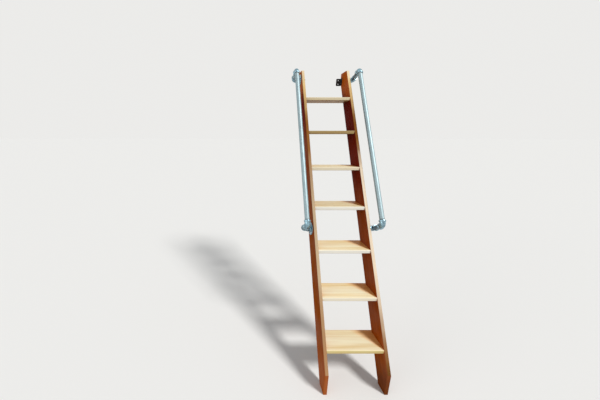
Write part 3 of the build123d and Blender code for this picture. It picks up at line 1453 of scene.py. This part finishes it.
def driven_screw(master, number, outward, towards, place, twist):
    """One screw, driven inwards and stopped at a turn of its own."""
    turn = basis(outward, towards) @ Matrix.Rotation(twist, 4, "Z")
    return placed_copy(master, f"screw_{number}", turn, place)


class LOFTSTAIR_OT_flange_screws(Operator):
    """Model the pan head screws of the floor flanges"""

    bl_idname = "loft_stair.flange_screws"
    bl_label = "Make Flange Screws"

    def execute(self, context):
        sizes = context.scene.loft_stair_fittings
        master = cross_head_screw(2.9 * MILLIMETRE)
        for end, at in handrail_ends():
            top = at.seat + at.outward * sizes.flange_plate
            screws = []
            for number in range(4):
                angle = radians(45 + 90 * number)
                spoke = UP_RAKE * cos(angle) + at.outward.cross(UP_RAKE) * sin(angle)
                place = top + spoke * sizes.flange_hole_circle
                twist = 0.7 * number + 0.3
                screws.append(driven_screw(master, number, at.outward, UP_RAKE, place, twist))
            piece = joined(screws, f"flange_screws_{end}")
            set_down(piece, "Galvanised pipe")
        bpy.data.objects.remove(master)
        return {"FINISHED"}


class LOFTSTAIR_OT_bracket_screws(Operator):
    """Model the screws that hold each bracket to its stringer"""

    bl_idname = "loft_stair.bracket_screws"
    bl_label = "Make Bracket Screws"

    def execute(self, context):
        from_loft, apart = 22 * MILLIMETRE, 30 * MILLIMETRE
        master = cross_head_screw(2.6 * MILLIMETRE)
        for side_name, side in SIDES.items():
            inward = Vector((-side, 0, 0))
            face = outer_side(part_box(f"angle_bracket_{side_name}"), side) - side * BRACKET_PLATE
            screws = []
            for number in range(2):
                place = Vector((face, -from_loft, (number - 0.5) * apart))
                twist = 0.9 * number + 0.2
                screws.append(driven_screw(master, number, inward, UPRIGHT, place, twist))
            piece = joined(screws, f"bracket_screws_{side_name}")
            set_down(piece, "Black steel")
        bpy.data.objects.remove(master)
        return {"FINISHED"}


class LOFTSTAIR_OT_plugs(Operator):
    """Model the wooden plugs over the screws that go into the treads' ends"""

    bl_idname = "loft_stair.plugs"
    bl_label = "Make Tread Plugs"

    def execute(self, context):
        wood = context.scene.loft_stair_wood
        rings = [
            (height * MILLIMETRE, wood.plug_radius - inset * MILLIMETRE)
            for height, inset in ((-0.1, 0), (0.1, 0), (0.25, 0.15), (0.32, 0.6))
        ]
        master = turned(rings, 32)
        smooth(master, 30)
        for side_name, side in SIDES.items():
            turn = basis(Vector((side, 0, 0)), UP_RAKE)
            face = outer_side(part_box(f"stringer_{side_name}"), side)
            plugs = []
            for number in range(1, TREAD_COUNT + 1):
                low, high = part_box(f"tread_{number}")
                for step in (0, 1):
                    y = low.y + wood.plug_front + step * wood.plug_spacing
                    place = Vector((face, y, (low.z + high.z) / 2))
                    plugs.append(placed_copy(master, f"plug_{number}_{step}", turn, place))
            piece = joined(plugs, f"tread_plugs_{side_name}")
            set_down(piece, "Stringer wood")
        bpy.data.objects.remove(master)
        return {"FINISHED"}


SETTINGS = {
    "loft_stair_wood": LoftStairWood,
    "loft_stair_fittings": LoftStairFittings,
    "loft_stair_stage": LoftStairStage,
}
STEPS = (
    LOFTSTAIR_OT_stage,
    LOFTSTAIR_OT_treads,
    LOFTSTAIR_OT_stringers,
    LOFTSTAIR_OT_pipes,
    LOFTSTAIR_OT_elbows,
    LOFTSTAIR_OT_flanges,
    LOFTSTAIR_OT_threads,
    LOFTSTAIR_OT_flange_screws,
    LOFTSTAIR_OT_bracket_screws,
    LOFTSTAIR_OT_plugs,
)


class LOFTSTAIR_PT_panel(Panel):
    """Panel with the stair's settings and its steps"""

    bl_idname = "LOFTSTAIR_PT_panel"
    bl_label = "Loft Stair"
    bl_space_type = "VIEW_3D"
    bl_region_type = "UI"
    bl_category = "Loft Stair"

    def draw(self, context):
        for group_name, group in SETTINGS.items():
            box = self.layout.box()
            for name in group.__annotations__:
                box.prop(getattr(context.scene, group_name), name)
        for step in STEPS:
            self.layout.operator(step.bl_idname)


CLASSES = (*SETTINGS.values(), *STEPS, LOFTSTAIR_PT_panel)


def register():
    """Registers the classes and gives the scene its settings."""
    for each in CLASSES:
        bpy.utils.register_class(each)
    for name, group in SETTINGS.items():
        setattr(bpy.types.Scene, name, PointerProperty(type=group))


def unregister():
    """Takes the settings and the classes away again."""
    for name in SETTINGS:
        delattr(bpy.types.Scene, name)
    for each in reversed(CLASSES):
        bpy.utils.unregister_class(each)


def main():
    """Builds the whole scene."""
    register()
    bpy.ops.loft_stair.stage()
    bpy.ops.loft_stair.treads()
    bpy.ops.loft_stair.stringers()
    bpy.ops.loft_stair.pipes()
    bpy.ops.loft_stair.elbows()
    bpy.ops.loft_stair.flanges()
    bpy.ops.loft_stair.threads()
    bpy.ops.loft_stair.flange_screws()
    bpy.ops.loft_stair.bracket_screws()
    bpy.ops.loft_stair.plugs()


if __name__ == "__main__":
    main()
